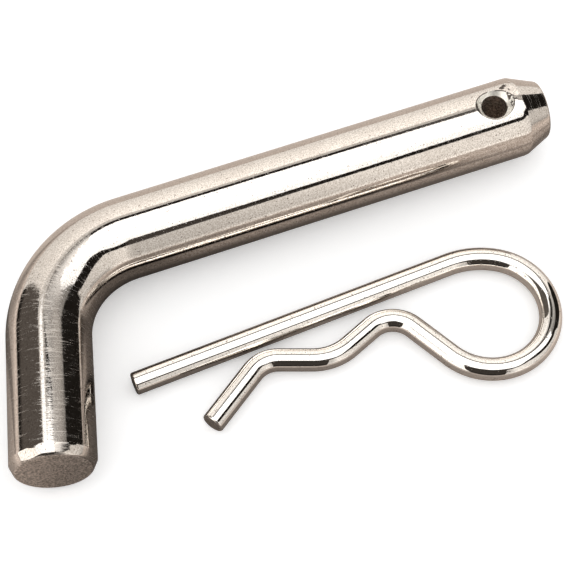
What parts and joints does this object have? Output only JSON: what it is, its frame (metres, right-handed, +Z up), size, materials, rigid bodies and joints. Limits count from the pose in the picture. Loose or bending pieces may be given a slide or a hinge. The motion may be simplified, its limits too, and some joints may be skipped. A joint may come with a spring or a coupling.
{
  "type": "receiver hitch pin",
  "caption": "Bent steel receiver hitch pin with a tapered nose and a countersunk cross hole, and its loose hairpin spring clip beside it.",
  "frame": {"origin": "on the shank's axis, where the straight shank meets the bend", "axes": "+X along the shank to the nose, +Z up and square to the plane of the bend; the short arm turns away towards -Y, and the clip lies on that side"},
  "size_m": [0.1204, 0.0577, 0.0158],
  "materials": {
    "plated_bar": "bright plated, faintly pitted, matte on the sheared end",
    "plated_wire": "bright plated drawn wire"
  },
  "bodies": {
    "root": {"hitch_pin": "plated_bar", "spring_clip": "plated_wire"}
  },
  "joints": []
}
